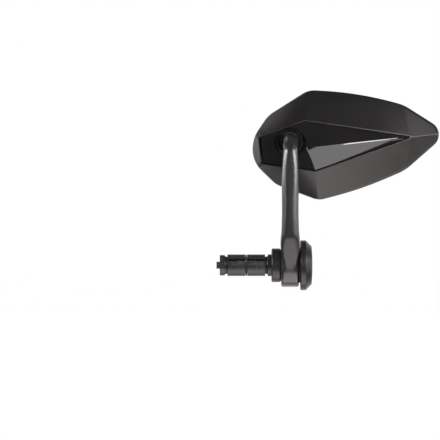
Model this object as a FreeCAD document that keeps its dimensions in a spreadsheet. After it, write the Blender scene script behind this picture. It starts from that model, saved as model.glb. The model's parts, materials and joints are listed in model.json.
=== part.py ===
"""Bar-end mirror: a faceted head on a ball joint, a cast stem and an expanding bar-end clamp.

Frame: X runs outward along the handlebar, Z is up, and the mirror glass faces +Y.
The origin is the centre of the bar-end face that the clamp's collar seats on.
"""
import FreeCAD
import Part
import Sketcher
import math
import os

# Driving dimensions in millimetres and degrees.
SIZES = {
    # Handlebar and the clamp inside it
    "bar_bore_d": 18.0,
    "plug_clearance": 0.25,
    "pilot_len": 3.0,
    "cone_len": 9.0,
    "cone_big_r": 7.4,
    "cone_small_r": 5.0,
    "jaw_gap": 2.2,
    "jaw_len": 30.0,
    "jaw_bore_r": 5.6,
    "jaw_play": 0.3,
    "jaw_slot_angle": 14.0,
    "ring_groove_width": 1.8,
    "ring_groove_floor_r": 6.4,
    "ring_section_d": 1.4,
    "ring_clearance": 0.7,
    "nut_flange_d": 16.4,
    "nut_flange_len": 4.0,
    # Pivot outside the bar
    "collar_d": 27.0,
    "collar_len": 7.0,
    "collar_chamfer": 0.6,
    "hub_d": 18.0,
    "hub_clearance": 0.05,
    "hub_gap": 0.3,
    "inner_washer_len": 0.6,
    "inner_washer_d": 25.4,
    "outer_washer_len": 1.2,
    "outer_washer_d": 28.0,
    "cap_d": 40.0,
    "cap_len": 9.7,
    "cap_crown": 0.6,
    "cap_chamfer": 4.8,
    "cap_inner_chamfer": 0.5,
    # Clamp bolt
    "bolt_d": 6.0,
    "bolt_clearance": 0.25,
    "bolt_thread_clearance": 0.05,
    "bolt_tail": 2.6,
    "bolt_head_d": 10.0,
    "bolt_head_len": 4.0,
    "bolt_head_room": 1.2,
    "bolt_head_sunk": 0.5,
    "bolt_head_chamfer": 0.4,
    "bolt_socket_flats": 5.0,
    "bolt_socket_depth": 2.4,
    "lock_washer_d": 11.0,
    "lock_washer_len": 1.4,
    "lock_washer_split": 1.2,
    # Stem
    "eye_d": 34.8,
    "eye_width": 14.2,
    "eye_edge": 1.5,
    "leg_lean": 20.0,
    "leg_thick": 8.8,
    "leg_inset": 0.15,
    "leg_foot_width": 8.5,
    "leg_root_width": 13.9,
    "leg_mid_width": 15.8,
    "leg_corner": 2.0,
    "knee_corner": 3.4,
    "leg_root_height": 8.0,
    "leg_mid_height": 17.0,
    "knee_height": 24.0,
    "knee_width": 15.0,
    "waist_low_height": 36.0,
    "waist_high_height": 66.0,
    "waist_width": 13.7,
    "waist_thick": 9.8,
    "waist_corner": 4.6,
    "elbow_r": 9.0,
    "neck_width": 11.2,
    "neck_thick": 11.0,
    "neck_corner": 4.9,
    # Ball joint
    "ball_height": 99.0,
    "ball_depth": 3.0,
    "ball_d": 15.0,
    "ball_clearance": 0.05,
    "liner_thick": 1.45,
    "liner_reach": 4.4,
    "liner_gap": 0.3,
    "socket_clearance": 0.05,
    "socket_mouth": 4.6,
    "stud_reach": 9.0,
    "stud_neck_d": 8.0,
    "stud_hex_flats": 9.0,
    "stud_hex_len": 2.0,
    "stud_thread_d": 6.0,
    "stud_thread_len": 8.0,
    "stud_hole_spare": 1.0,
    "stud_thread_clearance": 0.05,
    "dish_r": 13.5,
    "dish_front": 13.0,
    # Clamp plate behind the ball
    "boss_r": 12.8,
    "plate_gap": 0.6,
    "plate_ring_r": 11.5,
    "plate_lug_thick": 2.5,
    "plate_lug_r": 4.5,
    "screw_circle_r": 16.0,
    "screw_d": 3.0,
    "screw_hole_clearance": 0.2,
    "screw_thread_clearance": 0.05,
    "screw_grip": 3.8,
    "screw_hole_spare": 0.4,
    "screw_head_d": 5.6,
    "screw_head_len": 2.2,
    "screw_post_r": 4.0,
    "spring_len": 1.2,
    "spring_top_d": 5.2,
    "spring_foot_d": 7.0,
    # Head shell
    "rim_front": 7.5,
    "rim_back": 16.0,
    "rim_wall": 2.0,
    "facet_margin": 4.2,
    "crease_round": 4.0,
    "rim_round": 3.0,
    "lip_front": 9.43,
    "lip_yaw": 5.71,
    "lip_land": 0.8,
    "recess_depth": 2.2,
    "floor_thick": 2.0,
    "ledge_width": 1.6,
    # Gloss cover
    "cover_clearance": 0.25,
    "cover_sunk": 0.6,
    "cover_rise": 4.5,
    "cover_wall": 1.6,
    "cover_apex_x": 12.9,
    "cover_apex_z": -5.2,
    # Glass and what carries it
    "carrier_clearance": 0.3,
    "carrier_thick": 1.8,
    "pad_inset": 5.0,
    "pad_thick": 1.0,
    "glass_thick": 2.6,
    "glass_curve_r": 2000.0,
    "glass_centre_x": 46.0,
    "glass_centre_z": -2.0,
    "glass_sunk": 0.6,
    "glass_clearance": 0.1,
    "seal_width": 1.4,
    "seal_sunk": 0.3,
}

# Corners of the rim, seen from the front, from the ball's centre: across, up and rounding radius.
RIM_CORNERS = {
    "top": (14.9, 41.5, 18.0),
    "temple": (-17.5, 20.9, 25.0),
    "left_high": (-28.6, 4.2, 24.0),
    "left_low": (-31.2, -15.0, 24.0),
    "heel": (-10.9, -34.3, 17.0),
    "bottom": (23.2, -47.1, 15.5),
    "belly": (57.6, -38.0, 280.0),
    "hip": (92.7, -23.0, 40.0),
    "tip": (127.0, 7.1, 11.0),
    "shoulder": (91.5, 29.6, 34.0),
    "brow": (53.8, 39.8, 270.0),
}

# Corners of the lip round the gloss cover: across and up, and the rim corner that each crease runs to.
LIP_CORNERS = {
    "upper_left": (-25.7, 3.6, None),
    "lower_left": (-23.4, -18.4, None),
    "bottom": (20.5, -24.5, "bottom"),
    "tip_low": (96.1, 2.0, "hip"),
    "tip": (96.6, 3.6, "tip"),
    "tip_high": (96.1, 5.0, "shoulder"),
    "top": (12.1, 17.2, "top"),
}

SCREW_ANGLES = (-90.0, 30.0, 150.0)
JAW_ANGLES = (90.0, 210.0, 330.0)
HEXAGON_ANGLES = tuple(60.0 * corner for corner in range(6))
FULL_TURN = 360.0
SECTOR_COUNT = 3
QUARTER_TURN = 90.0
FLAT = 0.001

doc = FreeCAD.newDocument("bar_end_mirror")
sheet = doc.addObject("Spreadsheet::Sheet", "sizes")
finished = []


class Size:
    """A measure: its number now, and the formula on the sheet that keeps it up to date."""

    def __init__(self, value, formula):
        self.value = value
        self.formula = formula

    def join(self, sign, other, value):
        return Size(value, f"({self.formula} {sign} {other.formula})")

    def __add__(self, other):
        other = measure(other)
        return self.join("+", other, self.value + other.value)

    def __sub__(self, other):
        other = measure(other)
        return self.join("-", other, self.value - other.value)

    def __mul__(self, other):
        other = measure(other)
        return self.join("*", other, self.value * other.value)

    def __truediv__(self, other):
        other = measure(other)
        return self.join("/", other, self.value / other.value)

    def __radd__(self, other):
        return measure(other) + self

    def __rsub__(self, other):
        return measure(other) - self

    def __rmul__(self, other):
        return measure(other) * self

    def __neg__(self):
        return measure(0) - self


def measure(number):
    """A plain number as a Size; a Size stays as it is."""
    if isinstance(number, Size):
        return number
    return Size(float(number), f"({number})" if number < 0 else f"{number}")


def sine(angle):
    angle = measure(angle)
    return Size(math.sin(math.radians(angle.value)), f"sin({angle.formula})")


def cosine(angle):
    angle = measure(angle)
    return Size(math.cos(math.radians(angle.value)), f"cos({angle.formula})")


def tangent(angle):
    return sine(angle) / cosine(angle)


def arcsine(share):
    return Size(math.degrees(math.asin(share.value)), f"asin({share.formula})")


def root(square):
    return Size(math.sqrt(square.value), f"sqrt({square.formula})")


class Sizes:
    """The sheet's cells by name."""


def fill_sheet():
    """Write every driving dimension to the sheet and return the cells by name."""
    cells = dict(SIZES)
    for name, (across, up, radius) in RIM_CORNERS.items():
        cells[f"rim_{name}_x"] = across
        cells[f"rim_{name}_z"] = up
        cells[f"rim_{name}_round"] = radius
    for name, (across, up, crease) in LIP_CORNERS.items():
        cells[f"lip_{name}_x"] = across
        cells[f"lip_{name}_z"] = up
    named = Sizes()
    for row, (alias, number) in enumerate(cells.items(), start=1):
        sheet.set(f"A{row}", alias)
        sheet.set(f"B{row}", str(number))
        sheet.setAlias(f"B{row}", alias)
        setattr(named, alias, Size(number, f"sizes.{alias}"))
    doc.recompute()
    return named


s = fill_sheet()


def bind(obj, **properties):
    """Tie properties of an object to sizes."""
    for name, size in properties.items():
        obj.setExpression(name, measure(size).formula)
    return obj


def place(obj, at=(0, 0, 0), yaw=0, pitch=0, roll=0, where="Placement"):
    """Tie an object's place and turn to sizes."""
    spot = "; ".join(measure(size).formula for size in at)
    turn = "; ".join(measure(size).formula for size in (yaw, pitch, roll))
    obj.setExpression(where, f"placement(vector({spot}); rotation({turn}))")
    return obj


def finish(label, obj):
    """Name a finished sub-part."""
    obj.Label = label
    finished.append(obj)
    return obj


def solid(kind, name, at, yaw=0, pitch=0, roll=0, **properties):
    """A primitive tied to sizes."""
    return place(bind(doc.addObject(f"Part::{kind}", name), **properties), at, yaw, pitch, roll)


def cut(name, base, tool):
    obj = doc.addObject("Part::Cut", name)
    obj.Base = base
    obj.Tool = tool
    return obj


def common(name, base, tool):
    obj = doc.addObject("Part::Common", name)
    obj.Base = base
    obj.Tool = tool
    return obj


def fuse(name, *shapes):
    obj = doc.addObject("Part::MultiFuse", name)
    obj.Shapes = list(shapes)
    return obj


def soften(name, base, radius, picked):
    """Round those edges of a shape that a test picks out."""
    body = doc.addObject("PartDesign::Body", f"{name}_body")
    body.BaseFeature = base
    doc.recompute()
    start = body.Group[0]
    edges = [f"Edge{number}" for number, edge in enumerate(start.Shape.Edges, start=1)
             if picked(edge, start.Shape)]
    rounding = body.newObject("PartDesign::Fillet", name)
    rounding.Base = (start, edges)
    bind(rounding, Radius=radius)
    return body


def pin_point(sketch, geometry, end, across, up):
    """Hold one point of a sketch at sizes from the sketch's origin."""
    for kind, size in (("DistanceX", measure(across)), ("DistanceY", measure(up))):
        row = sketch.addConstraint(Sketcher.Constraint(kind, -1, 1, geometry, end, size.value))
        sketch.setExpression(f"Constraints[{row}]", size.formula)


def draw_polygon(sketch, corners):
    """A closed outline of straight lines."""
    spots = [FreeCAD.Vector(measure(x).value, measure(y).value, 0) for x, y in corners]
    count = len(spots)
    for index in range(count):
        sketch.addGeometry(Part.LineSegment(spots[index], spots[(index + 1) % count]), False)
    for index in range(count):
        sketch.addConstraint(Sketcher.Constraint("Coincident", index, 2, (index + 1) % count, 1))
    for index, (x, y) in enumerate(corners):
        pin_point(sketch, index, 1, x, y)
    return sketch


def draw_rounded(sketch, corners):
    """A closed convex outline, anticlockwise, whose corners (x, y, radius) are rounded by arcs."""
    count = len(corners)
    spots = [FreeCAD.Vector(measure(x).value, measure(y).value, 0) for x, y, radius in corners]
    starts = []
    ends = []
    arcs = []
    for index, (x, y, radius) in enumerate(corners):
        spot = spots[index]
        before = (spots[index - 1] - spot).normalize()
        after = (spots[(index + 1) % count] - spot).normalize()
        half = before.getAngle(after) / 2
        reach = measure(radius).value / math.tan(half)
        middle = (before + after).normalize()
        centre = spot + middle * (measure(radius).value / math.sin(half))
        ends.append(spot + before * reach)
        starts.append(spot + after * reach)
        sweep = [math.atan2((point - centre).y, (point - centre).x) for point in (ends[-1], starts[-1])]
        circle = Part.Circle(centre, FreeCAD.Vector(0, 0, 1), measure(radius).value)
        arcs.append(Part.ArcOfCircle(circle, sweep[0], sweep[1]))
    lines = [sketch.addGeometry(Part.LineSegment(starts[i], ends[(i + 1) % count]), False)
             for i in range(count)]
    rounds = [sketch.addGeometry(arc, False) for arc in arcs]
    points = [sketch.addGeometry(Part.Point(spot), True) for spot in spots]
    for index, (x, y, radius) in enumerate(corners):
        pin_point(sketch, points[index], 1, x, y)
        sketch.addConstraint(Sketcher.Constraint("PointOnObject", points[index], 1, lines[index]))
        sketch.addConstraint(Sketcher.Constraint("PointOnObject", points[index], 1, lines[index - 1]))
    for index, (x, y, radius) in enumerate(corners):
        sketch.addConstraint(Sketcher.Constraint("Tangent", lines[index - 1], 2, rounds[index], 1))
        sketch.addConstraint(Sketcher.Constraint("Tangent", rounds[index], 2, lines[index], 1))
        row = sketch.addConstraint(Sketcher.Constraint("Radius", rounds[index], measure(radius).value))
        sketch.setExpression(f"Constraints[{row}]", measure(radius).formula)
    return sketch


def plane_of(body, role):
    """One of a body's own origin planes."""
    return next(plane for plane in body.Origin.OriginFeatures if plane.Role == role)


def sketch_on(body, role, name):
    """A sketch on one of a body's own origin planes."""
    sketch = body.newObject("Sketcher::SketchObject", name)
    sketch.AttachmentSupport = [(plane_of(body, role), "")]
    sketch.MapMode = "FlatFace"
    return sketch


def turned(name, profile, sweep=FULL_TURN):
    """A body turned about the bar's axis from a closed profile of (along, radius) corners."""
    body = doc.addObject("PartDesign::Body", name)
    sketch = draw_polygon(sketch_on(body, "XY_Plane", f"{name}_profile"), profile)
    turn = body.newObject("PartDesign::Revolution", f"{name}_turn")
    turn.Profile = sketch
    turn.ReferenceAxis = (sketch, ["H_Axis"])
    turn.Midplane = True
    bind(turn, Angle=sweep)
    return body


def hexagon(flats):
    """Corners of a hexagon with this width across its flats."""
    reach = flats / 2 / cosine(30)
    return [(reach * cosine(angle), reach * sine(angle)) for angle in HEXAGON_ANGLES]


# Stations along the bar's axis, from the bar's end outward and inward.
eye_start = s.collar_len + s.inner_washer_len
eye_end = eye_start + s.eye_width
eye_middle = eye_start + s.eye_width / 2
cap_start = eye_end + s.outer_washer_len
cap_end = cap_start + s.cap_len
head_end = cap_end - s.bolt_head_sunk
head_start = head_end - s.bolt_head_len
seat_of_washer = head_start - s.lock_washer_len
jaw_start = -(s.pilot_len + s.jaw_gap)
jaw_end = jaw_start - s.jaw_len
jaw_middle = (jaw_start + jaw_end) / 2
nut_wide = 2 * jaw_middle + s.pilot_len
nut_narrow = nut_wide + s.cone_len
nut_end = nut_wide - s.nut_flange_len
bolt_end = nut_end - s.bolt_tail

plug_r = s.bar_bore_d / 2 - s.plug_clearance
bolt_r = s.bolt_d / 2
bolt_hole_r = bolt_r + s.bolt_clearance
hub_r = s.hub_d / 2
hub_bore_r = hub_r + s.hub_clearance
cone_slope = (s.cone_big_r - s.cone_small_r) / s.cone_len

# The head's own origin is the ball's centre.
head_x = eye_middle
head_y = s.ball_depth
head_z = s.ball_height


def from_ball(x=0, y=0, z=0):
    """A place measured from the ball's centre."""
    return (head_x + x, head_y + y, head_z + z)


def along_y(kind, name, start, x=0, z=0, **properties):
    """A primitive whose axis runs towards the glass from a depth behind the ball's centre."""
    return solid(kind, name, from_ball(x, start, z), roll=-QUARTER_TURN, **properties)


def make_pivot_bush():
    corner = s.collar_d / 2 - s.collar_chamfer
    profile = [
        (-s.pilot_len - s.cone_len, bolt_hole_r),
        (cap_start - s.hub_gap, bolt_hole_r),
        (cap_start - s.hub_gap, hub_r),
        (s.collar_len, hub_r),
        (s.collar_len, corner),
        (s.collar_len - s.collar_chamfer, s.collar_d / 2),
        (s.collar_chamfer, s.collar_d / 2),
        (0, corner),
        (0, plug_r),
        (-s.pilot_len, plug_r),
        (-s.pilot_len, s.cone_big_r),
        (-s.pilot_len - s.cone_len, s.cone_small_r),
    ]
    finish("pivot_bush", turned("pivot_bush", profile))


def make_washer(label, start, end, outer_r):
    profile = [(start, hub_bore_r), (end, hub_bore_r), (end, outer_r), (start, outer_r)]
    finish(label, turned(label, profile))


def make_bar_end_cap():
    counterbore_r = s.bolt_head_d / 2 + s.bolt_head_room
    cap_r = s.cap_d / 2
    profile = [
        (cap_start, bolt_hole_r),
        (seat_of_washer, bolt_hole_r),
        (seat_of_washer, counterbore_r),
        (cap_end, counterbore_r),
        (cap_end - s.cap_crown, cap_r - s.cap_chamfer),
        (cap_end - s.cap_crown - s.cap_chamfer, cap_r),
        (cap_start + s.cap_inner_chamfer, cap_r),
        (cap_start, cap_r - s.cap_inner_chamfer),
    ]
    finish("bar_end_cap", turned("bar_end_cap", profile))


def make_clamp_bolt():
    head_r = s.bolt_head_d / 2
    profile = [
        (bolt_end, 0),
        (head_end, 0),
        (head_end, head_r - s.bolt_head_chamfer),
        (head_end - s.bolt_head_chamfer, head_r),
        (head_start, head_r),
        (head_start, bolt_r),
        (bolt_end, bolt_r),
    ]
    body = turned("clamp_bolt", profile)
    sketch = draw_polygon(sketch_on(body, "YZ_Plane", "clamp_bolt_socket"), hexagon(s.bolt_socket_flats))
    place(sketch, (0, 0, head_end), where="AttachmentOffset")
    pocket = body.newObject("PartDesign::Pocket", "clamp_bolt_pocket")
    pocket.Profile = sketch
    bind(pocket, Length=s.bolt_socket_depth)
    finish("clamp_bolt", body)


def make_lock_washer():
    inner_r = bolt_hole_r
    outer_r = s.lock_washer_d / 2
    profile = [
        (seat_of_washer, inner_r),
        (head_start, inner_r),
        (head_start, outer_r),
        (seat_of_washer, outer_r),
    ]
    ring = turned("lock_washer_ring", profile)
    split = solid("Box", "lock_washer_split", (seat_of_washer, -s.lock_washer_split / 2, 0),
                  Length=s.lock_washer_len, Width=s.lock_washer_split, Height=s.lock_washer_d)
    finish("lock_washer", cut("lock_washer", ring, split))


def make_expander():
    """Three wedge jaws, the ring that holds them together and the nut that spreads them."""
    mouth_r = s.cone_big_r - s.jaw_gap * cone_slope + s.jaw_play
    taper = (mouth_r - s.jaw_bore_r) / cone_slope
    groove = s.ring_groove_width / 2
    profile = [
        (jaw_start, mouth_r),
        (jaw_start, plug_r),
        (jaw_middle + groove, plug_r),
        (jaw_middle + groove, s.ring_groove_floor_r),
        (jaw_middle - groove, s.ring_groove_floor_r),
        (jaw_middle - groove, plug_r),
        (jaw_end, plug_r),
        (jaw_end, mouth_r),
        (jaw_end + taper, s.jaw_bore_r),
        (jaw_start - taper, s.jaw_bore_r),
    ]
    sweep = measure(FULL_TURN / SECTOR_COUNT) - s.jaw_slot_angle
    for number, angle in enumerate(JAW_ANGLES, start=1):
        jaw = turned(f"expander_jaw_{number}", profile, sweep)
        finish(f"expander_jaw_{number}", place(jaw, roll=angle))
    section_r = s.ring_section_d / 2
    ring_r = s.ring_groove_floor_r + s.ring_clearance + section_r
    ring = solid("Torus", "jaw_ring", (jaw_middle, 0, 0), pitch=QUARTER_TURN,
                 Radius1=ring_r, Radius2=section_r)
    finish("jaw_ring", ring)
    thread_r = bolt_r + s.bolt_thread_clearance
    flange_r = s.nut_flange_d / 2
    nut = [
        (nut_end, thread_r),
        (nut_narrow, thread_r),
        (nut_narrow, s.cone_small_r),
        (nut_wide, s.cone_big_r),
        (nut_wide, flange_r),
        (nut_end, flange_r),
    ]
    finish("cone_nut", turned("cone_nut", nut))


# The stem lies in a plane across the bar: its leg runs off the front of the eye, set in a little.
leg_offset = s.eye_d / 2 - s.leg_inset - s.leg_thick / 2
leg_foot_y = -leg_offset * cosine(s.leg_lean)
leg_foot_z = -leg_offset * sine(s.leg_lean)
stem_end = head_y - s.stud_reach
elbow_start = head_z - s.elbow_r


def section_corners(width, thick, corner):
    """A rounded rectangle round the sketch's origin."""
    return [
        (-width / 2, -thick / 2, corner),
        (width / 2, -thick / 2, corner),
        (width / 2, thick / 2, corner),
        (-width / 2, thick / 2, corner),
    ]


def leg_y(height):
    """Where the leaning leg's middle line is at a height."""
    return leg_foot_y - (height - leg_foot_z) * tangent(s.leg_lean)


shank_y = leg_y(s.knee_height)
elbow_end = shank_y + s.elbow_r


def stem_section(body, name, y, z, lean, width, thick, corner):
    """A section of the stem, across its path."""
    sketch = sketch_on(body, "XY_Plane", f"stem_{name}")
    draw_rounded(sketch, section_corners(width, thick, corner))
    return place(sketch, (eye_middle, y, z), roll=lean, where="AttachmentOffset")


def stem_loft(body, name, sections):
    loft = body.newObject("PartDesign::AdditiveLoft", f"stem_{name}")
    loft.Profile = sections[0]
    loft.Sections = sections[1:]
    return loft


def make_stem():
    body = doc.addObject("PartDesign::Body", "stem_casting")
    eye = sketch_on(body, "YZ_Plane", "stem_eye_outline")
    circle = Part.Circle(FreeCAD.Vector(0, 0, 0), FreeCAD.Vector(0, 0, 1), s.eye_d.value / 2)
    eye.addGeometry(circle, False)
    eye.addConstraint(Sketcher.Constraint("Coincident", 0, 3, -1, 1))
    row = eye.addConstraint(Sketcher.Constraint("Diameter", 0, s.eye_d.value))
    eye.setExpression(f"Constraints[{row}]", s.eye_d.formula)
    place(eye, (0, 0, eye_start), where="AttachmentOffset")
    eye_pad = body.newObject("PartDesign::Pad", "stem_eye")
    eye_pad.Profile = eye
    bind(eye_pad, Length=s.eye_width)
    doc.recompute()
    rims = [f"Edge{n}" for n, edge in enumerate(eye_pad.Shape.Edges, start=1) if edge.isClosed()]
    rounding = body.newObject("PartDesign::Fillet", "stem_eye_edges")
    rounding.Base = (eye_pad, rims)
    bind(rounding, Radius=s.eye_edge)

    waist = (s.waist_width, s.waist_thick, s.waist_corner)
    neck = (s.neck_width, s.neck_thick, s.neck_corner)

    def leg_section(name, height, lean, width, corner):
        return stem_section(body, name, leg_y(height), height, lean, width, s.leg_thick, corner)

    foot = leg_section("leg_foot", leg_foot_z, s.leg_lean, s.leg_foot_width, s.leg_corner)
    base = leg_section("leg_root", s.leg_root_height, s.leg_lean, s.leg_root_width, s.leg_corner)
    middle = leg_section("leg_middle", s.leg_mid_height, s.leg_lean, s.leg_mid_width, s.leg_corner)
    knee = leg_section("knee", s.knee_height, s.leg_lean / 2, s.knee_width, s.knee_corner)
    stem_loft(body, "leg", [foot, base, middle, knee])
    knee_again = leg_section("knee_top", s.knee_height, s.leg_lean / 2, s.knee_width, s.knee_corner)
    low = stem_section(body, "waist_low", shank_y, s.waist_low_height, 0, *waist)
    high = stem_section(body, "waist_high", shank_y, s.waist_high_height, 0, *waist)
    top = stem_section(body, "neck_foot", shank_y, elbow_start, 0, *neck)
    stem_loft(body, "shank", [knee_again, low, high, top])

    bend = stem_section(body, "bend", shank_y, elbow_start, 0, *neck)
    far = s.neck_width.value
    axis = bend.addGeometry(Part.LineSegment(FreeCAD.Vector(far, s.elbow_r.value, 0),
                                             FreeCAD.Vector(-far, s.elbow_r.value, 0)), True)
    pin_point(bend, axis, 1, s.neck_width, s.elbow_r)
    pin_point(bend, axis, 2, -s.neck_width, s.elbow_r)
    elbow = body.newObject("PartDesign::Revolution", "stem_elbow")
    elbow.Profile = bend
    elbow.ReferenceAxis = (bend, ["Axis0"])
    elbow.Angle = QUARTER_TURN

    nose = sketch_on(body, "XZ_Plane", "stem_nose_outline")
    draw_rounded(nose, section_corners(*neck))
    place(nose, (eye_middle, head_z, -elbow_end), where="AttachmentOffset")
    nose_pad = body.newObject("PartDesign::Pad", "stem_nose")
    nose_pad.Profile = nose
    nose_pad.Reversed = True
    bind(nose_pad, Length=stem_end - elbow_end)

    bore = solid("Cylinder", "stem_bore", (s.collar_len, 0, 0), pitch=QUARTER_TURN,
                 Radius=hub_bore_r, Height=cap_start - s.collar_len)
    hole_len = s.stud_thread_len + s.stud_hole_spare
    hole = along_y("Cylinder", "stem_stud_hole", -s.stud_reach - hole_len,
                   Radius=s.stud_thread_d / 2 + s.stud_thread_clearance, Height=hole_len)
    finish("stem", cut("stem", cut("stem_with_eye", body, bore), hole))


# The ball, its two liners and the socket share one centre.
ball_r = s.ball_d / 2
liner_inner_r = ball_r + s.ball_clearance
liner_outer_r = liner_inner_r + s.liner_thick
socket_r = liner_outer_r + s.socket_clearance
mouth_opening_r = root(socket_r * socket_r - s.socket_mouth * s.socket_mouth)
plate_face = s.plate_gap
plate_lug_back = plate_face + s.plate_lug_thick
screw_seat = plate_lug_back + s.spring_len


def make_ball_stud():
    ball = along_y("Sphere", "stud_ball", 0, Radius=ball_r)
    neck = along_y("Cylinder", "stud_neck", -s.stud_reach, Radius=s.stud_neck_d / 2, Height=s.stud_reach)
    flats = along_y("Prism", "stud_hexagon", -s.stud_reach,
                    Circumradius=s.stud_hex_flats / 2 / cosine(30), Height=s.stud_hex_len)
    thread = along_y("Cylinder", "stud_thread", -s.stud_reach - s.stud_thread_len,
                     Radius=s.stud_thread_d / 2, Height=s.stud_thread_len)
    finish("ball_stud", fuse("ball_stud", ball, neck, flats, thread))


def make_liner(label, start, end):
    """A spherical zone between two depths behind the ball's centre."""
    shell = along_y("Sphere", f"{label}_outside", 0, Radius=liner_outer_r,
                    Angle1=arcsine(start / liner_outer_r), Angle2=arcsine(end / liner_outer_r))
    hollow = along_y("Sphere", f"{label}_inside", 0, Radius=liner_inner_r)
    finish(label, cut(label, shell, hollow))


def screw_spots():
    """Where the three clamp screws stand, across and up from the ball's centre."""
    return [(s.screw_circle_r * cosine(angle), s.screw_circle_r * sine(angle)) for angle in SCREW_ANGLES]


def screw_cylinders(name, start, radius, length):
    return [along_y("Cylinder", f"{name}_{number}", start, x, z, Radius=radius, Height=length)
            for number, (x, z) in enumerate(screw_spots(), start=1)]


def front_sketch(name, depth):
    """A sketch seen from the front, round the ball's centre, at a depth behind it."""
    return place(doc.addObject("Sketcher::SketchObject", name), from_ball(y=depth), roll=QUARTER_TURN)


def extrude(name, outline, forward, backward):
    """A solid from a flat outline: lengths run towards the front and towards the glass."""
    obj = doc.addObject("Part::Extrusion", name)
    obj.Base = outline
    obj.DirMode = "Normal"
    obj.Solid = True
    return bind(obj, LengthFwd=forward, LengthRev=backward)


def inset(name, outline, distance):
    """A flat outline moved inward."""
    obj = doc.addObject("Part::Offset2D", name)
    obj.Source = outline
    obj.Join = 2
    return bind(obj, Value=-distance)


def make_clamp_plate():
    corner_reach = s.screw_circle_r + 2 * s.plate_lug_r
    corners = [(corner_reach * cosine(angle), corner_reach * sine(angle), s.plate_lug_r)
               for angle in SCREW_ANGLES]
    outline = draw_rounded(front_sketch("clamp_plate_outline", plate_face), corners)
    lugs = extrude("clamp_plate_lugs", outline, 0, s.plate_lug_thick)
    ring = along_y("Cylinder", "clamp_plate_ring", plate_face, Radius=s.plate_ring_r,
                   Height=s.socket_mouth - plate_face)
    seat = along_y("Sphere", "clamp_plate_seat", 0, Radius=socket_r)
    hole_r = s.screw_d / 2 + s.screw_hole_clearance
    holes = screw_cylinders("clamp_plate_hole", plate_face, hole_r, s.plate_lug_thick)
    finish("clamp_plate", cut("clamp_plate", fuse("clamp_plate_blank", lugs, ring),
                              fuse("clamp_plate_cuts", seat, *holes)))


def make_clamp_screws():
    shank_len = screw_seat + s.screw_grip
    shanks = screw_cylinders("clamp_screw_shank", -s.screw_grip, s.screw_d / 2, shank_len)
    heads = screw_cylinders("clamp_screw_head", screw_seat, s.screw_head_d / 2, s.screw_head_len)
    screws = doc.addObject("Part::Compound", "clamp_screws")
    pairs = enumerate(zip(shanks, heads), start=1)
    screws.Links = [fuse(f"clamp_screw_{number}", *pair) for number, pair in pairs]
    finish("clamp_screws", screws)


def make_disc_springs():
    hole_r = s.screw_d / 2 + s.screw_hole_clearance
    holes = screw_cylinders("disc_spring_hole", plate_lug_back, hole_r, s.spring_len)
    springs = doc.addObject("Part::Compound", "disc_springs")
    links = []
    for number, ((x, z), hole) in enumerate(zip(screw_spots(), holes), start=1):
        cone = along_y("Cone", f"disc_spring_cone_{number}", plate_lug_back, x, z,
                       Radius1=s.spring_foot_d / 2, Radius2=s.spring_top_d / 2, Height=s.spring_len)
        links.append(cut(f"disc_spring_{number}", cone, hole))
    springs.Links = links
    finish("disc_springs", springs)


# Depths behind the ball's centre of the pieces that stack up behind the shell.
glass_back = s.rim_back - s.glass_sunk
glass_seat = glass_back - s.glass_thick
pad_seat = glass_seat - s.pad_thick
carrier_seat = pad_seat - s.carrier_thick
front_reach = s.lip_front + s.dish_front


def rim_corner(name):
    return (getattr(s, f"rim_{name}_x"), getattr(s, f"rim_{name}_z"))


def rim_outline(name, depth):
    """The rim's rounded outline at a depth behind the ball's centre."""
    corners = [(*rim_corner(corner), getattr(s, f"rim_{corner}_round")) for corner in RIM_CORNERS]
    return draw_rounded(front_sketch(name, depth), corners)


def lip_corner(name):
    return (getattr(s, f"lip_{name}_x"), getattr(s, f"lip_{name}_z"))


def lip_outline(name, depth):
    """The lip's straight-sided outline, on its turned plane, sunk by a depth."""
    sketch = doc.addObject("Sketcher::SketchObject", name)
    corners = [(x / cosine(s.lip_yaw), z) for x, z in map(lip_corner, LIP_CORNERS)]
    draw_polygon(sketch, corners)
    return place(sketch, from_ball(y=depth - s.lip_front), yaw=s.lip_yaw, roll=QUARTER_TURN)


def line_at(first, second, x):
    """Height of the line through two corners at x."""
    return first[1] + (second[1] - first[1]) * (x - first[0]) / (second[0] - first[0])


def crease_ends():
    """Where each crease of the shell would meet the rim, the left two beyond the rounded end."""
    left = s.rim_left_high_x - s.facet_margin
    ends = {
        "upper_left": (left, line_at(rim_corner("top"), rim_corner("temple"), left)),
        "lower_left": (left, line_at(rim_corner("bottom"), rim_corner("heel"), left)),
    }
    for name, (x, z, corner) in LIP_CORNERS.items():
        if corner:
            ends[name] = rim_corner(corner)
    return ends


def facet_solid(name, depth, back):
    """The faceted front, sunk by a depth, from the lip to a flat base behind the ball's centre."""
    base = front_sketch(f"{name}_base", back)
    ends = crease_ends()
    corners = []
    for corner in LIP_CORNERS:
        x, z = lip_corner(corner)
        end_x, end_z = ends[corner]
        lip_y = x * tangent(s.lip_yaw) - s.lip_front
        reach = (back - depth - lip_y) / (s.rim_front - lip_y)
        corners.append((x + (end_x - x) * reach, z + (end_z - z) * reach))
    draw_polygon(base, corners)
    loft = doc.addObject("Part::Loft", name)
    loft.Sections = [base, lip_outline(f"{name}_lip", depth)]
    loft.Solid = True
    loft.Ruled = True
    return loft


def is_crease(edge, shape):
    """Whether an edge of the faceted front runs from the lip to the flat base."""
    back = shape.BoundBox.YMax
    ends = [abs(vertex.Y - back) < FLAT for vertex in edge.Vertexes]
    return any(ends) and not all(ends)


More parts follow.
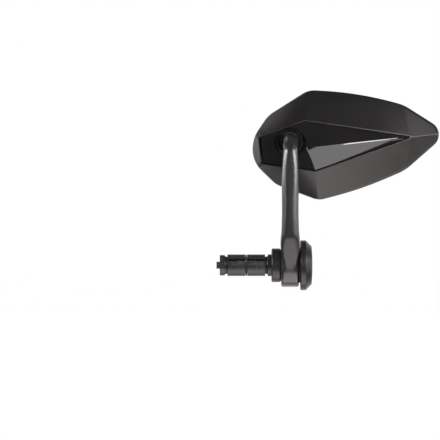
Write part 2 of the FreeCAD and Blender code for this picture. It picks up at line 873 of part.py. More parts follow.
def is_rim_edge(edge, shape):
    """Whether an edge lies between the rim's side wall and a facet."""
    middle = edge.valueAt((edge.FirstParameter + edge.LastParameter) / 2)
    walls = []
    for face in shape.ancestorsOfType(edge, Part.Face):
        normal = face.normalAt(*face.Surface.parameter(middle))
        walls.append(abs(normal.y) < FLAT)
    return any(walls) and not all(walls) and shape.BoundBox.YMax - middle.y > FLAT


def make_housing():
    whole_depth = s.rim_back + front_reach
    rim = rim_outline("housing_rim", s.rim_back)
    facets = soften("housing_facets", facet_solid("housing_front", 0, s.rim_back), s.crease_round, is_crease)
    block = extrude("housing_block", rim, whole_depth, 0)
    blank = soften("housing_edges", common("housing_blank", block, facets), s.rim_round, is_rim_edge)

    skin = s.recess_depth + s.floor_thick
    inner_edge = inset("housing_inner_edge", rim, s.rim_wall + s.ledge_width)
    hollow = extrude("housing_hollow", inner_edge, whole_depth, 0)
    cavity = common("housing_cavity", hollow, facet_solid("housing_roof", skin, s.rim_back + skin))

    boss = along_y("Cylinder", "housing_boss", -front_reach, Radius=s.boss_r, Height=front_reach)
    posts = screw_cylinders("housing_post", -front_reach, s.screw_post_r, front_reach)
    room = cut("housing_clear_room", cavity, fuse("housing_bosses", boss, *posts))

    glass_edge = inset("housing_glass_edge", rim, s.rim_wall)
    glass_room = extrude("housing_glass_room", glass_edge, s.rim_back - carrier_seat, 0)
    window_lip = lip_outline("housing_window_lip", s.recess_depth)
    window_edge = inset("housing_window_edge", window_lip, s.lip_land)
    window = extrude("housing_window", window_edge, s.recess_depth + front_reach, 0)
    socket = along_y("Sphere", "housing_socket", 0, Radius=socket_r)
    dish = along_y("Cone", "housing_dish", -s.dish_front, Radius1=s.dish_r, Radius2=mouth_opening_r,
                   Height=s.dish_front - s.socket_mouth)
    thread_r = s.screw_d / 2 + s.screw_thread_clearance
    hole_len = s.screw_grip + s.screw_hole_spare
    holes = screw_cylinders("housing_screw_hole", -hole_len, thread_r, hole_len)
    cuts = fuse("housing_cuts", room, glass_room, window, socket, dish, *holes)
    finish("housing", cut("housing", blank, cuts))


def make_gloss_cover():
    edge = s.lip_land + s.cover_clearance
    apex_y = s.cover_apex_x * tangent(s.lip_yaw) - s.lip_front - s.cover_rise
    seat = inset("cover_seat", lip_outline("cover_seat_lip", s.recess_depth), edge)
    plate = extrude("cover_plate", seat, s.recess_depth - s.cover_sunk, 0)

    def pyramid(name, sunk, rim, apex):
        point = doc.addObject("Part::Vertex", f"{name}_apex")
        x, y, z = from_ball(s.cover_apex_x, apex, s.cover_apex_z)
        bind(point, X=x, Y=y, Z=z)
        loft = doc.addObject("Part::Loft", name)
        loft.Sections = [inset(f"{name}_outline", lip_outline(f"{name}_lip", sunk), rim), point]
        loft.Solid = True
        loft.Ruled = True
        return loft

    roof = pyramid("cover_roof", s.cover_sunk, edge, apex_y)
    hollow = pyramid("cover_hollow", s.recess_depth, edge + s.cover_wall, apex_y + s.cover_wall)
    dish = along_y("Cone", "cover_dish", -s.dish_front, Radius1=s.dish_r, Radius2=mouth_opening_r,
                   Height=s.dish_front - s.socket_mouth)
    blank = fuse("cover_blank", plate, roof)
    finish("gloss_cover", cut("gloss_cover", blank, fuse("cover_cuts", hollow, dish)))


def make_glass_stack():
    fit = s.rim_wall + s.carrier_clearance
    glass_edge = fit + s.seal_width + s.glass_clearance

    def layer(name, seat, thick, distance):
        outline = inset(f"{name}_outline", rim_outline(f"{name}_rim", seat), distance)
        return extrude(name, outline, 0, thick)

    finish("glass_carrier", layer("glass_carrier", carrier_seat, s.carrier_thick, fit))
    finish("adhesive_pad", layer("adhesive_pad", pad_seat, s.pad_thick, fit + s.pad_inset))
    centre = from_ball(s.glass_centre_x, glass_back - s.glass_curve_r, s.glass_centre_z)
    dome = solid("Sphere", "glass_dome", centre, Radius=s.glass_curve_r)
    blank = layer("glass_blank", glass_seat, s.glass_thick, glass_edge)
    finish("mirror_glass", common("mirror_glass", blank, dome))
    seal_len = s.rim_back - s.seal_sunk - pad_seat
    finish("rim_seal", cut("rim_seal", layer("seal_outside", pad_seat, seal_len, fit),
                           layer("seal_inside", pad_seat, seal_len, fit + s.seal_width)))


def export_parts():
    """Check every object, then write one file for each sub-part."""
    doc.recompute()
    failed = [obj.Name for obj in doc.Objects if {"Invalid", "Error"} & set(obj.State)]
    failed += [obj.Label for obj in finished if obj.Shape.isNull() or not obj.Shape.isValid()]
    if failed:
        raise RuntimeError(f"these failed: {failed}")
    os.makedirs("parts", exist_ok=True)
    for obj in finished:
        obj.Shape.exportStep(f"parts/{obj.Label}.step")
        print(f"{obj.Label}: {len(obj.Shape.Solids)} solid(s), {obj.Shape.Volume:.0f} mm3")


make_pivot_bush()
make_washer("inner_friction_washer", s.collar_len, eye_start, s.inner_washer_d / 2)
make_washer("outer_friction_washer", eye_end, cap_start, s.outer_washer_d / 2)
make_bar_end_cap()
make_clamp_bolt()
make_lock_washer()
make_expander()
make_stem()
make_ball_stud()
make_liner("front_ball_liner", -s.liner_reach, -s.liner_gap)
make_liner("rear_ball_liner", s.liner_gap, s.liner_reach)
make_clamp_plate()
make_clamp_screws()
make_disc_springs()
make_housing()
make_gloss_cover()
make_glass_stack()
export_parts()
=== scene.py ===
"""Looks of the bar-end mirror: finishes, softened edges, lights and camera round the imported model."""
import json
import math

import bmesh
import bpy
from mathutils import Matrix, Vector

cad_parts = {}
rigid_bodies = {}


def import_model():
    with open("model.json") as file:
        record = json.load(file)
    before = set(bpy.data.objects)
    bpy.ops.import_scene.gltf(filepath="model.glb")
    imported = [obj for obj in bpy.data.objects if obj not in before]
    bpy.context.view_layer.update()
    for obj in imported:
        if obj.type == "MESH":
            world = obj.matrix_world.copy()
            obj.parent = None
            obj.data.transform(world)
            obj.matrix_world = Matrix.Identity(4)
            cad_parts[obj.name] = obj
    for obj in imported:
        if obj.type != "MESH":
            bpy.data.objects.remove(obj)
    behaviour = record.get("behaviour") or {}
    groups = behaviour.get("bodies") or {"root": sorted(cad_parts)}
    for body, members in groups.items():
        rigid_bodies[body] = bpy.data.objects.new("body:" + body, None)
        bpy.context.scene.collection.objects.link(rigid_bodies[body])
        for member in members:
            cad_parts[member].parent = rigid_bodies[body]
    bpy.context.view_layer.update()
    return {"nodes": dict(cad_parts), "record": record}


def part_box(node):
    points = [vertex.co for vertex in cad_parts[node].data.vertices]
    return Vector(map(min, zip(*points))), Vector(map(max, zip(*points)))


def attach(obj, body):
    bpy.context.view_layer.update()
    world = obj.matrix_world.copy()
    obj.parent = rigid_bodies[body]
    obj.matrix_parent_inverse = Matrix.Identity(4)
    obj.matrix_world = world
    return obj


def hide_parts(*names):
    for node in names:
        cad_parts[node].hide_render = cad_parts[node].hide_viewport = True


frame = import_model()

MM = 0.001
MERGE_DISTANCE = 1e-6
FLAT_ANGLE = math.radians(0.05)
SMOOTH_ANGLE = math.radians(32)
RIDGE_ANGLE = math.radians(4)
RIDGE_LENGTH = 8 * MM
RIDGE_MIDDLE = 70 * MM
RIDGE_REACH = 15 * MM
EDGE_STEPS = 2
FRONT_DEPTH = 5 * MM
FACING_FRONT = -0.4
WALL_LEAN = 0.35
WALL_RISE = 0.3
BALL_CENTRE = Vector((14.7 * MM, 3 * MM, 99 * MM))
HOLLOW_RADIUS = 13.2 * MM
FOOT_GAP = 0.35 * MM
FACET_AREA = 60 * MM * MM
CAST_MESH = 0.4 * MM
ARM_START = 11 * MM
LEG_TOP = 34 * MM
LEG_BACK = -9 * MM
SKIN_BLEND = 6 * MM
SKIN_FACTOR = 0.5
SKIN_RELAX = 4
ARM_RELAX = 40
LEG_RELAX = 120
JAW_RADIUS = 8.75 * MM
JAW_END = 1.2 * MM
GRIP_STEP = 1.6 * MM
GRIP_WIDTH = 0.9 * MM
GRIP_DEPTH = 0.3 * MM
BOLT_RADIUS = 3.0 * MM
THREAD_PITCH = 1.0 * MM
THREAD_WIDTH = 0.9 * THREAD_PITCH
THREAD_DEPTH = 0.4 * MM
TAIL_BEVEL = 0.5 * MM

# Where the view stands: the photo shows 352 mm across, seen level, along +Y.
VIEW_CENTRE = Vector((-41.2 * MM, 0.0, 36.2 * MM))
VIEW_WIDTH = 352 * MM
VIEW_DISTANCE = 4.0
VIEW_NEAR = 0.01
VIEW_FAR = 20.0
SENSOR = 36.0
SIGHT = Vector((0.0, 1.0, 0.0))
CARD_LENGTH = 0.12
EVEN_SPREAD = math.radians(35)
FLOOR_HEIGHT = -150 * MM
FLOOR_GLOW = 0.42
FLOOR_SIZE = 12.0
FLOOR_COLOUR = (0.86, 0.86, 0.86, 1.0)
FLOOR_ROUGHNESS = 0.9
WHITE = (1.0, 1.0, 1.0, 1.0)


def only(obj):
    """Select one object and nothing else."""
    bpy.ops.object.select_all(action="DESELECT")
    obj.select_set(True)
    bpy.context.view_layer.objects.active = obj


def edit(obj):
    only(obj)
    bpy.ops.object.mode_set(mode="EDIT")


def leave_edit():
    bpy.ops.object.mode_set(mode="OBJECT")


# Finishes

# Patterns on the surfaces, in waves per metre and shares of one.
UNDULATION_SCALE = 90.0
CLOUD_SCALE = 42.0
SPECK_SCALE = 900.0
CLOUD_SHARE = 0.75
TONE_SPAN = (0.36, 0.64)
ROUGHNESS_SPAN = (0.33, 0.67)
RING_DETAIL = 3.0


def new_material(name):
    material = bpy.data.materials.new(name)
    material.use_nodes = True
    return material


def make_group(name, inputs, outputs):
    """An empty shader node group with its sockets, and its two end nodes."""
    group = bpy.data.node_groups.new(name, "ShaderNodeTree")
    for label, kind, value in inputs:
        socket = group.interface.new_socket(label, in_out="INPUT", socket_type=kind)
        if value is not None:
            socket.default_value = value
    for label, kind in outputs:
        group.interface.new_socket(label, in_out="OUTPUT", socket_type=kind)
    return group, group.nodes.new("NodeGroupInput"), group.nodes.new("NodeGroupOutput")


def noise(tree, vector, scale, detail, roughness=0.5):
    node = tree.nodes.new("ShaderNodeTexNoise")
    node.inputs["Detail"].default_value = detail
    node.inputs["Roughness"].default_value = roughness
    if isinstance(scale, (int, float)):
        node.inputs["Scale"].default_value = scale
    else:
        tree.links.new(scale, node.inputs["Scale"])
    tree.links.new(vector, node.inputs["Vector"])
    return node.outputs["Fac"]


def remap(tree, value, low, high, start, end, soft=False):
    """A value from low..high spread over start..end; start and end may be sockets."""
    node = tree.nodes.new("ShaderNodeMapRange")
    if soft:
        node.interpolation_type = "SMOOTHSTEP"
    node.inputs["From Min"].default_value = low
    node.inputs["From Max"].default_value = high
    for label, bound in (("To Min", start), ("To Max", end)):
        if isinstance(bound, (int, float)):
            node.inputs[label].default_value = bound
        else:
            tree.links.new(bound, node.inputs[label])
    tree.links.new(value, node.inputs["Value"])
    return node.outputs["Result"]


def calculate(tree, operation, first, second):
    node = tree.nodes.new("ShaderNodeMath")
    node.operation = operation
    for index, value in enumerate((first, second)):
        if isinstance(value, (int, float)):
            node.inputs[index].default_value = value
        else:
            tree.links.new(value, node.inputs[index])
    return node.outputs["Value"]


def mix_colour(tree, share, first, second):
    node = tree.nodes.new("ShaderNodeMix")
    node.data_type = "RGBA"
    for label, value in (("A", first), ("B", second)):
        socket = next(s for s in node.inputs if s.name == label and s.type == "RGBA")
        if isinstance(value, tuple):
            socket.default_value = value
        else:
            tree.links.new(value, socket)
    tree.links.new(share, node.inputs["Factor"])
    return next(s for s in node.outputs if s.type == "RGBA")


def make_grain_group():
    """Fine moulded or sprayed grain: a height for bump, with coarse undulation under it."""
    group, start, end = make_group(
        "fine_grain",
        [("Vector", "NodeSocketVector", None), ("Grain per metre", "NodeSocketFloat", 2200.0),
         ("Undulation", "NodeSocketFloat", 0.3)],
        [("Height", "NodeSocketFloat")])
    fine = noise(group, start.outputs["Vector"], start.outputs["Grain per metre"], detail=2.0, roughness=0.6)
    slow = noise(group, start.outputs["Vector"], UNDULATION_SCALE, detail=1.0)
    swell = calculate(group, "MULTIPLY", slow, start.outputs["Undulation"])
    total = calculate(group, "ADD", fine, swell)
    group.links.new(total, end.inputs["Height"])
    return group


def make_handling_group():
    """Faint uneven sheen from handling: a tone that varies a little, and a roughness."""
    group, start, end = make_group(
        "handling",
        [("Vector", "NodeSocketVector", None), ("Colour", "NodeSocketColor", None),
         ("Dulled", "NodeSocketColor", None), ("Smoothest", "NodeSocketFloat", 0.3),
         ("Roughest", "NodeSocketFloat", 0.45)],
        [("Colour", "NodeSocketColor"), ("Roughness", "NodeSocketFloat")])
    cloud = noise(group, start.outputs["Vector"], CLOUD_SCALE, detail=5.0, roughness=0.6)
    speck = noise(group, start.outputs["Vector"], SPECK_SCALE, detail=2.0)
    blend = calculate(group, "ADD", calculate(group, "MULTIPLY", cloud, CLOUD_SHARE),
                      calculate(group, "MULTIPLY", speck, 1.0 - CLOUD_SHARE))
    share = remap(group, blend, *TONE_SPAN, 0.0, 1.0)
    colour = mix_colour(group, share, start.outputs["Colour"], start.outputs["Dulled"])
    group.links.new(colour, end.inputs["Colour"])
    rough = remap(group, blend, *ROUGHNESS_SPAN, start.outputs["Smoothest"], start.outputs["Roughest"])
    group.links.new(rough, end.inputs["Roughness"])
    return group


def make_turning_group():
    """Fine tool rings of a lathe round the bar's axis: a height along X and with the radius."""
    group, start, end = make_group(
        "turning_rings",
        [("Vector", "NodeSocketVector", None), ("Rings per metre", "NodeSocketFloat", 2600.0)],
        [("Height", "NodeSocketFloat")])
    parts = group.nodes.new("ShaderNodeSeparateXYZ")
    group.links.new(start.outputs["Vector"], parts.inputs["Vector"])
    squares = [calculate(group, "POWER", parts.outputs[axis], 2.0) for axis in "YZ"]
    across = calculate(group, "POWER", calculate(group, "ADD", *squares), 0.5)
    along = calculate(group, "ADD", parts.outputs["X"], across)
    line = group.nodes.new("ShaderNodeTexNoise")
    line.noise_dimensions = "1D"
    line.inputs["Detail"].default_value = RING_DETAIL
    group.links.new(along, line.inputs["W"])
    group.links.new(start.outputs["Rings per metre"], line.inputs["Scale"])
    group.links.new(line.outputs["Fac"], end.inputs["Height"])
    return group


GRAIN = make_grain_group()
HANDLING = make_handling_group()
TURNING = make_turning_group()


class Finish:
    """A material under way: its tree, its shader and the object's own coordinates."""

    def __init__(self, name):
        self.material = new_material(name)
        self.tree = self.material.node_tree
        self.shader = self.tree.nodes["Principled BSDF"]
        coordinates = self.tree.nodes.new("ShaderNodeTexCoord")
        self.place = coordinates.outputs["Object"]

    def group(self, which, **values):
        node = self.tree.nodes.new("ShaderNodeGroup")
        node.node_tree = which
        self.tree.links.new(self.place, node.inputs["Vector"])
        for label, value in values.items():
            node.inputs[label.replace("_", " ")].default_value = value
        return node

    def handled(self, colour, dulled, smoothest, roughest):
        node = self.group(HANDLING, Smoothest=smoothest, Roughest=roughest)
        node.inputs["Colour"].default_value = (*colour, 1.0)
        node.inputs["Dulled"].default_value = (*dulled, 1.0)
        self.tree.links.new(node.outputs["Colour"], self.shader.inputs["Base Color"])
        self.tree.links.new(node.outputs["Roughness"], self.shader.inputs["Roughness"])
        return self

    def bumped(self, height, strength, distance):
        bump = self.tree.nodes.new("ShaderNodeBump")
        bump.inputs["Strength"].default_value = strength
        bump.inputs["Distance"].default_value = distance
        self.tree.links.new(height, bump.inputs["Height"])
        self.tree.links.new(bump.outputs["Normal"], self.shader.inputs["Normal"])
        return self

    def grained(self, grain, undulation, strength, distance):
        node = self.group(GRAIN, Grain_per_metre=grain, Undulation=undulation)
        return self.bumped(node.outputs["Height"], strength, distance)

    def set(self, **values):
        for label, value in values.items():
            self.shader.inputs[label.replace("_", " ")].default_value = value
        return self


WARM = (1.0, 0.95, 0.95, 1.0)


def make_finishes():
    finishes = {}

    def add(slot, finish):
        finishes[slot] = finish.material

    add("housing_black", Finish("satin_moulded_black")
        .handled((0.0145, 0.0137, 0.0133), (0.0185, 0.0176, 0.0172), smoothest=0.32, roughest=0.40)
        .grained(2600.0, undulation=0.0, strength=0.22, distance=0.00006)
        .set(Specular_Tint=WARM))
    add("cover_black", Finish("gloss_moulded_black")
        .handled((0.010, 0.0095, 0.009), (0.013, 0.012, 0.012), smoothest=0.04, roughest=0.09)
        .grained(140.0, undulation=1.2, strength=0.04, distance=0.0002)
        .set(Coat_Weight=1.0, Coat_Roughness=0.03, Specular_Tint=WARM))
    add("black_aluminium", Finish("satin_powder_coat")
        .handled((0.019, 0.0183, 0.0183), (0.022, 0.0212, 0.0212), smoothest=0.30, roughest=0.32)
        .grained(1500.0, undulation=0.0, strength=0.05, distance=0.00002)
        .set(Coat_Weight=0.6, Coat_Roughness=0.2, Specular_Tint=WARM))
    turned = Finish("black_anodised")
    rings = turned.group(TURNING, Rings_per_metre=2600.0)
    add("black_turned", turned
        .handled((0.015, 0.0145, 0.0143), (0.019, 0.0184, 0.0182), smoothest=0.28, roughest=0.38)
        .bumped(rings.outputs["Height"], strength=0.25, distance=0.00005)
        .set(Specular_Tint=WARM))
    add("black_steel", Finish("black_oxide_steel")
        .handled((0.045, 0.044, 0.043), (0.070, 0.068, 0.065), smoothest=0.30, roughest=0.48)
        .grained(1800.0, undulation=0.4, strength=0.2, distance=0.00005)
        .set(Metallic=0.6))
    add("zinc_steel", Finish("zinc_plated_steel")
        .handled((0.62, 0.61, 0.59), (0.52, 0.52, 0.51), smoothest=0.24, roughest=0.42)
        .grained(1300.0, undulation=0.3, strength=0.15, distance=0.00004)
        .set(Metallic=1.0))
    add("black_rubber", Finish("matte_rubber")
        .handled((0.022, 0.022, 0.022), (0.034, 0.033, 0.032), smoothest=0.62, roughest=0.80)
        .grained(1100.0, undulation=0.5, strength=0.35, distance=0.0001))
    add("liner_black", Finish("low_friction_liner")
        .handled((0.010, 0.010, 0.010), (0.014, 0.014, 0.014), smoothest=0.50, roughest=0.65)
        .grained(900.0, undulation=0.4, strength=0.1, distance=0.00005))
    add("carrier_plastic", Finish("moulded_carrier")
        .handled((0.045, 0.045, 0.047), (0.055, 0.055, 0.057), smoothest=0.45, roughest=0.6)
        .grained(1500.0, undulation=0.3, strength=0.2, distance=0.00006))
    add("foam_tape", Finish("foam_tape")
        .handled((0.76, 0.76, 0.74), (0.68, 0.68, 0.66), smoothest=0.8, roughest=0.95)
        .grained(1900.0, undulation=0.2, strength=0.6, distance=0.0002))
    add("mirror_face", Finish("silvered_glass")
        .handled((0.68, 0.71, 0.73), (0.64, 0.67, 0.69), smoothest=0.012, roughest=0.03)
        .set(Metallic=1.0, Coat_Weight=0.6, Coat_Roughness=0.01))
    return finishes


FINISHES = make_finishes()


# Pieces


def pick_edges(piece, wanted):
    """Select the edges, in edit mode, that the test wants."""
    mesh = bmesh.from_edit_mesh(piece.data)
    for edge in mesh.edges:
        edge.select_set(False)
    for edge in mesh.edges:
        if len(edge.link_faces) == 2 and wanted(edge):
            edge.select_set(True)
    bmesh.update_edit_mesh(piece.data)


def break_edges(piece, wanted, width, steps, clamped=True):
    pick_edges(piece, wanted)
    bpy.ops.mesh.bevel(offset=width, segments=steps, affect="EDGES", clamp_overlap=clamped)


def is_sharp(edge):
    return edge.calc_face_angle() > SMOOTH_ANGLE


def is_ridge(edge):
    """A long, blunt edge between two facets."""
    return RIDGE_ANGLE < edge.calc_face_angle() <= SMOOTH_ANGLE and edge.calc_length() > RIDGE_LENGTH


def finish_shading(piece):
    """Smooth shading that leaves flat faces flat."""
    only(piece)
    bpy.ops.object.shade_smooth_by_angle(angle=SMOOTH_ANGLE, keep_sharp_edges=True)
    modifier = piece.modifiers.new("flat_faces", "WEIGHTED_NORMAL")
    modifier.keep_sharp = True
    bpy.ops.object.modifier_apply(modifier=modifier.name)


def edge_middle(edge):
    return (edge.verts[0].co + edge.verts[1].co) / 2


def is_window_edge(edge):
    """The housing's sharp edge round its window, between a facet and the wall behind it."""
    depths = sorted(face.normal.y for face in edge.link_faces)
    between = depths[0] < FACING_FRONT and abs(depths[1]) < WALL_LEAN
    return is_sharp(edge) and between and edge_middle(edge).y < FRONT_DEPTH


def is_cover_rim(edge):
    """The cover's outer edge at its left end and underneath, away from the hollow round the stem."""
    front, wall = sorted((face.normal for face in edge.link_faces), key=lambda normal: normal.y)
    aside = edge_middle(edge) - BALL_CENTRE
    clear = math.hypot(aside.x, aside.z) > HOLLOW_RADIUS
    between = front.y < FACING_FRONT and abs(wall.y) < WALL_LEAN and wall.z < WALL_RISE
    return is_sharp(edge) and clear and between


def is_crease(edge):
    """The border of one of the cover's facets along a crease."""
    return is_ridge(edge) and any(face.calc_area() > FACET_AREA for face in edge.link_faces)


def is_main_ridge(edge):
    """The cover's ridge from its highest point to its tip."""
    return is_ridge(edge) and abs(edge_middle(edge).x - RIDGE_MIDDLE) < RIDGE_REACH


def close_cover_foot(piece):
    """Join the foot of the cover's facets to the top of its walls, which stand a hair apart."""
    bpy.ops.mesh.select_mode(type="VERT")
    mesh = bmesh.from_edit_mesh(piece.data)
    for point in mesh.verts:
        aside = point.co - BALL_CENTRE
        point.select_set(math.hypot(aside.x, aside.z) > HOLLOW_RADIUS)
    bmesh.update_edit_mesh(piece.data)
    bpy.ops.mesh.remove_doubles(threshold=FOOT_GAP)


def dress(node, name, edge, breaks=()):
    """A piece in a CAD node's own shape, merged and shaded smooth, with its sharp edges broken."""
    source = frame["nodes"][node]
    only(source)
    bpy.ops.object.duplicate()
    piece = bpy.context.active_object
    piece.name = name
    bpy.ops.object.parent_clear(type="CLEAR_KEEP_TRANSFORM")
    for key in [key for key in piece.keys() if key.startswith("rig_")]:
        del piece[key]
    edit(piece)
    bpy.ops.mesh.select_all(action="SELECT")
    bpy.ops.mesh.remove_doubles(threshold=MERGE_DISTANCE)
    bpy.ops.mesh.dissolve_limited(angle_limit=FLAT_ANGLE)
    if node == "gloss_cover":
        close_cover_foot(piece)
    bpy.ops.mesh.select_mode(type="EDGE")
    for wanted, width, steps in breaks:
        break_edges(piece, wanted, width * MM, steps, clamped=False)
    break_edges(piece, is_sharp, edge * MM, EDGE_STEPS)
    bpy.ops.mesh.select_all(action="SELECT")
    bpy.ops.mesh.remove_doubles(threshold=MERGE_DISTANCE)
    bpy.ops.mesh.dissolve_degenerate(threshold=MERGE_DISTANCE)
    if node == "gloss_cover":
        pick_edges(piece, is_crease)
        bpy.ops.mesh.mark_sharp()
    leave_edit()
    finish_shading(piece)
    return piece


def apply_modifier(piece, kind, **values):
    only(piece)
    modifier = piece.modifiers.new(kind.lower(), kind)
    for label, value in values.items():
        setattr(modifier, label, value)
    bpy.ops.object.modifier_apply(modifier=modifier.name)


def weigh(piece, name, share):
    """A vertex group with each point's share, from 0 to 1."""
    group = piece.vertex_groups.new(name=name)
    for point in piece.data.vertices:
        group.add([point.index], min(max(share(point.co), 0.0), 1.0), "REPLACE")


def cast_stem(piece):
    """The stem's even cast skin: a fine mesh, relaxed all over, and most round its leg."""
    apply_modifier(piece, "REMESH", mode="VOXEL", voxel_size=CAST_MESH)
    weigh(piece, "arm", lambda point: (point.z - ARM_START) / SKIN_BLEND)
    weigh(piece, "leg", lambda point: min(-(point.y - LEG_BACK), LEG_TOP - point.z) / SKIN_BLEND)
    apply_modifier(piece, "SMOOTH", factor=SKIN_FACTOR, iterations=SKIN_RELAX)
    apply_modifier(piece, "SMOOTH", factor=SKIN_FACTOR, iterations=ARM_RELAX, vertex_group="arm")
    apply_modifier(piece, "SMOOTH", factor=SKIN_FACTOR, iterations=LEG_RELAX, vertex_group="leg")
    piece.vertex_groups.clear()
    only(piece)
    bpy.ops.object.shade_smooth()


def groove(piece, places, width, depth, radius):
    """Fine round grooves about the bar's axis: at each place along it the outer skin dips."""
    edit(piece)
    bpy.ops.mesh.select_mode(type="VERT")
    for place in places:
        for shift in (-width / 2, 0.0, width / 2):
            bpy.ops.mesh.select_all(action="SELECT")
            bpy.ops.mesh.bisect(plane_co=(place + shift, 0.0, 0.0), plane_no=(1.0, 0.0, 0.0))
        mesh = bmesh.from_edit_mesh(piece.data)
        for point in mesh.verts:
            outer = math.hypot(point.co.y, point.co.z) > radius - depth
            point.select_set(outer and abs(point.co.x - place) < width / 4)
        bmesh.update_edit_mesh(piece.data)
        narrowing = (radius - depth) / radius
        bpy.ops.transform.resize(value=(1.0, narrowing, narrowing), center_override=(place, 0.0, 0.0))
    leave_edit()
    finish_shading(piece)


def along_bar(start, end, step):
    """Even places from start to end, at most a step apart and half a step in from each."""
    count = math.ceil((end - start) / step)
    return [start + (end - start) * (index + 0.5) / count for index in range(count)]


def groove_jaws():
    """Grip grooves on the jaws, on both sides of the ring that holds them."""
    ring_low, ring_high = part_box("jaw_ring")
    for number in (1, 2, 3):
        node = f"expander_jaw_{number}"
        low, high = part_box(node)
        places = (along_bar(low[0] + JAW_END, ring_low[0] - JAW_END, GRIP_STEP)
                  + along_bar(ring_high[0] + JAW_END, high[0] - JAW_END, GRIP_STEP))
        groove(pieces[node], places, GRIP_WIDTH, GRIP_DEPTH, JAW_RADIUS)


def thread_tail():
    """The turns of thread on the bolt's end, past the wedge nut."""
    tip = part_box("clamp_bolt")[0][0]
    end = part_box("cone_nut")[0][0]
    places = along_bar(tip + TAIL_BEVEL, end, THREAD_PITCH)
    groove(pieces["clamp_bolt"], places, THREAD_WIDTH, THREAD_DEPTH, BOLT_RADIUS)


SLOTS = {row["node"]: row["material_slot"] for row in frame["record"]["subparts"]}
GROUPS = frame["record"]["behaviour"]["bodies"]
BODIES = {node: body for body, nodes in GROUPS.items() for node in nodes}


def fit(piece, node):
    """The piece stands for a node: its body, its slot and its finish."""
    slot = SLOTS[node]
    piece.data.materials.clear()
    piece.data.materials.append(FINISHES[slot])
    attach(piece, BODIES[node])
    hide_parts(node)
    return piece


# Width of each piece's broken edges, in mm.
EDGES = {
    "housing": 0.25, "gloss_cover": 0.3, "stem": 0.3, "bar_end_cap": 0.35, "pivot_bush": 0.25,
    "inner_friction_washer": 0.1, "outer_friction_washer": 0.2, "clamp_bolt": 0.2, "lock_washer": 0.12,
    "expander_jaw_1": 0.2, "expander_jaw_2": 0.2, "expander_jaw_3": 0.2, "jaw_ring": 0.25, "cone_nut": 0.2,
    "ball_stud": 0.15, "clamp_plate": 0.2, "glass_carrier": 0.2, "adhesive_pad": 0.1, "mirror_glass": 0.25,
    "rim_seal": 0.35, "front_ball_liner": 0.1, "rear_ball_liner": 0.1, "disc_springs": 0.1,
    "clamp_screws": 0.15,
}
# Edges that are broken wider first: which, how wide in mm and in how many steps.
BREAKS = {
    "gloss_cover": ((is_cover_rim, 1.3, 1), (is_main_ridge, 1.0, 4)),
    "housing": ((is_window_edge, 0.35, 4),),
}
pieces = {}
for node, edge in EDGES.items():
    pieces[node] = fit(dress(node, f"{node}_finished", edge, BREAKS.get(node, ())), node)
cast_stem(pieces["stem"])
groove_jaws()
thread_tail()


# Floor, light and view


# Where light comes from: each lobe has a strength and soft limits on the parts of a direction.
LOBES = {
    "floor_near": (2.6, (("Z", -0.54, -0.74), ("Y", 0.45, 0.05),
                         ("X", -0.60, -0.15), ("X", 0.95, 0.55))),
    "floor_middle": (2.4, (("Z", -0.57, -0.63), ("X", -0.28, -0.12),
                           ("X", 0.20, 0.10), ("Y", 0.10, -0.10))),
    "right": (1.2, (("X", 0.50, 0.90), ("Z", 0.30, 0.12), ("Z", -0.35, -0.20))),
    "left": (0.6, (("X", -0.50, -0.90), ("Z", 0.30, 0.12), ("Z", -0.35, -0.20))),
    "upper_left": (2.3, (("X", -0.25, -0.50), ("Z", 0.60, 0.82), ("Y", -0.15, 0.45))),
    "behind": (1.0, (("Y", 0.35, 0.60), ("Z", 0.75, 0.35))),
}
ROOM_LEVEL = 0.04
LAMP_COLOUR = (1.0, 0.965, 0.96, 1.0)
# Even lights: where each heads and its strength.
EVEN_LIGHTS = {
    "from_front": ((0.0, 1.0, -0.05), 0.8),
    "from_behind": ((0.0, -1.0, -0.25), 1.4),
    "from_above": ((0.0, 0.0, -1.0), 1.1),
}
NECK = (0.015, -0.02, 0.1)
# Softboxes: where each stands, what it faces, its size, its power and the pieces that it misses.
SOFTBOXES = {
    "left_side": ((-0.335, -0.21, 0.14), NECK, (0.40, 0.06), 1.3, ("housing",)),
    "right_side": ((0.365, -0.21, 0.12), NECK, (0.40, 0.07), 0.95, ()),
    "rim_light": ((-0.088, -0.008, 0.086), (-0.010, -0.008, 0.100), (0.03, 0.04), 0.03, ()),
    "ridge_light": ((0.133, -0.146, 0.099), (0.087, -0.003, 0.099), (0.041, 0.05), 0.065, ()),
}
# Spots on the cover and on the housing's tip that mirror a light into the view: X and Z in mm.
LOW_CARD_SPOTS = ((67.4, 92.3), (61.5, 88.5))
TIP_SPOT = (114.0, 107.0)


def make_world():
    """White to the eye; a dim room with the bright lobes to everything else."""
    world = bpy.data.worlds.new("white_cove")
    bpy.context.scene.world = world
    world.use_nodes = True
    tree = world.node_tree
    background = tree.nodes["Background"]
    coordinates = tree.nodes.new("ShaderNodeTexCoord")
    parts = tree.nodes.new("ShaderNodeSeparateXYZ")
    tree.links.new(coordinates.outputs["Generated"], parts.inputs["Vector"])
    level = ROOM_LEVEL
    for strength, limits in LOBES.values():
        lobe = strength
        for axis, start, end in limits:
            share = remap(tree, parts.outputs[axis], start, end, 0.0, 1.0, soft=True)
            lobe = calculate(tree, "MULTIPLY", share, lobe)
        level = calculate(tree, "MAXIMUM", lobe, level)
    path = tree.nodes.new("ShaderNodeLightPath")
    seen = calculate(tree, "MAXIMUM", path.outputs["Is Camera Ray"], path.outputs["Is Transmission Ray"])
    hidden = calculate(tree, "SUBTRACT", 1.0, seen)
    shown = calculate(tree, "ADD", calculate(tree, "MULTIPLY", level, hidden), seen)
    tree.links.new(mix_colour(tree, seen, LAMP_COLOUR, WHITE), background.inputs["Color"])
    tree.links.new(shown, background.inputs["Strength"])


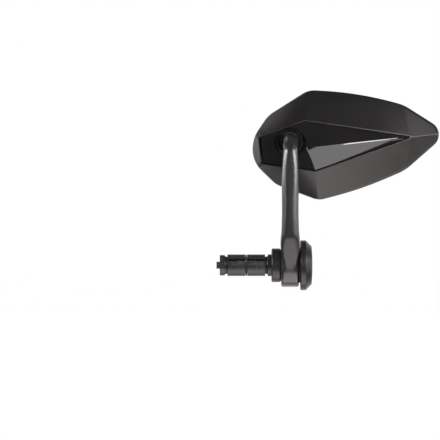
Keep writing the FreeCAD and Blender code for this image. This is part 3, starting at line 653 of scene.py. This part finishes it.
def make_floor():
    bpy.ops.object.select_all(action="DESELECT")
    bpy.ops.mesh.primitive_plane_add(size=FLOOR_SIZE, location=(0.0, 0.0, FLOOR_HEIGHT))
    floor = bpy.context.active_object
    floor.name = "floor"
    material = new_material("pale_floor")
    tree = material.node_tree
    shader = tree.nodes["Principled BSDF"]
    shader.inputs["Base Color"].default_value = FLOOR_COLOUR
    shader.inputs["Roughness"].default_value = FLOOR_ROUGHNESS
    shader.inputs["Emission Color"].default_value = WHITE
    path = tree.nodes.new("ShaderNodeLightPath")
    seen = calculate(tree, "MULTIPLY", path.outputs["Is Camera Ray"], FLOOR_GLOW)
    tree.links.new(seen, shader.inputs["Emission Strength"])
    floor.data.materials.append(material)
    floor.visible_diffuse = False
    floor.visible_glossy = False
    return floor


def keep_light_off(lamp, missed):
    """A lamp lights everything but the objects that it misses."""
    apart = bpy.data.collections.new(lamp.name + "_misses")
    for thing in missed:
        apart.objects.link(thing)
    for entry in apart.collection_objects:
        entry.light_linking.link_state = "EXCLUDE"
    lamp.light_linking.receiver_collection = apart


def add_softbox(name, place, target, size, power, missed=()):
    light = bpy.data.lights.new(name, "AREA")
    light.shape = "RECTANGLE"
    light.size, light.size_y = size
    light.energy = power
    lamp = bpy.data.objects.new(name, light)
    bpy.context.collection.objects.link(lamp)
    lamp.location = place
    lamp.rotation_mode = "QUATERNION"
    lamp.rotation_quaternion = (Vector(target) - Vector(place)).to_track_quat("-Z", "Y")
    lamp.visible_camera = False
    keep_light_off(lamp, [FLOOR] + [pieces[node] for node in missed])
    return lamp


def mirrored(piece, x, z, distance):
    """The point, so far away, that a piece mirrors into the view at X and Z, and the way to it."""
    spot, normal = piece.ray_cast(Vector((x * MM, 0.0, z * MM)) - SIGHT, SIGHT)[1:3]
    away = SIGHT.reflect(normal)
    return spot + away * distance, away


def add_card(name, piece, spots, distance, width, level):
    """A lit card whose right edge a piece mirrors into the view along the line between two spots."""
    high = mirrored(piece, *spots[0], distance)[0]
    low, away = mirrored(piece, *spots[1], distance)
    along = (high - low) - (high - low).project(away)
    across = away.cross(along).normalized()
    if across.x > 0:
        across.negate()
    size = (CARD_LENGTH, width)
    place = (high + low) / 2 + across * width / 2
    lamp = add_softbox(name, place, place - away, size, level * math.pi * size[0] * size[1])
    turn = Matrix((along.normalized(), away.cross(along.normalized()), away)).transposed()
    lamp.rotation_quaternion = turn.to_quaternion()


def add_glow(name, piece, spot, distance, size, level):
    """A small softbox that a piece mirrors into the view round a spot."""
    place, away = mirrored(piece, *spot, distance)
    add_softbox(name, place, place - away, size, level * math.pi * size[0] * size[1])


def add_even_light(name, heading, strength):
    """Even, very soft light that reaches object and floor alike from one side, and isn't mirrored."""
    light = bpy.data.lights.new(name, "SUN")
    light.energy = strength
    light.angle = EVEN_SPREAD
    lamp = bpy.data.objects.new(name, light)
    bpy.context.collection.objects.link(lamp)
    lamp.rotation_mode = "QUATERNION"
    lamp.rotation_quaternion = Vector(heading).to_track_quat("-Z", "Y")
    lamp.visible_glossy = False


def make_camera():
    camera = bpy.data.cameras.new("view")
    camera.sensor_width = SENSOR
    camera.lens = SENSOR * VIEW_DISTANCE / VIEW_WIDTH
    camera.clip_start = VIEW_NEAR
    camera.clip_end = VIEW_FAR
    holder = bpy.data.objects.new("view", camera)
    bpy.context.collection.objects.link(holder)
    holder.location = VIEW_CENTRE - Vector((0.0, VIEW_DISTANCE, 0.0))
    holder.rotation_euler = (math.radians(90), 0.0, 0.0)
    bpy.context.scene.camera = holder


make_world()
FLOOR = make_floor()
for name, settings in EVEN_LIGHTS.items():
    add_even_light(name, *settings)
for name, settings in SOFTBOXES.items():
    add_softbox(name, *settings)
add_card("low_card", pieces["gloss_cover"], LOW_CARD_SPOTS, distance=0.18, width=0.10, level=1.9)
add_glow("tip_glow", pieces["housing"], TIP_SPOT, distance=0.13, size=(0.04, 0.04), level=3.4)
make_camera()
bpy.context.scene.view_settings.view_transform = "Standard"
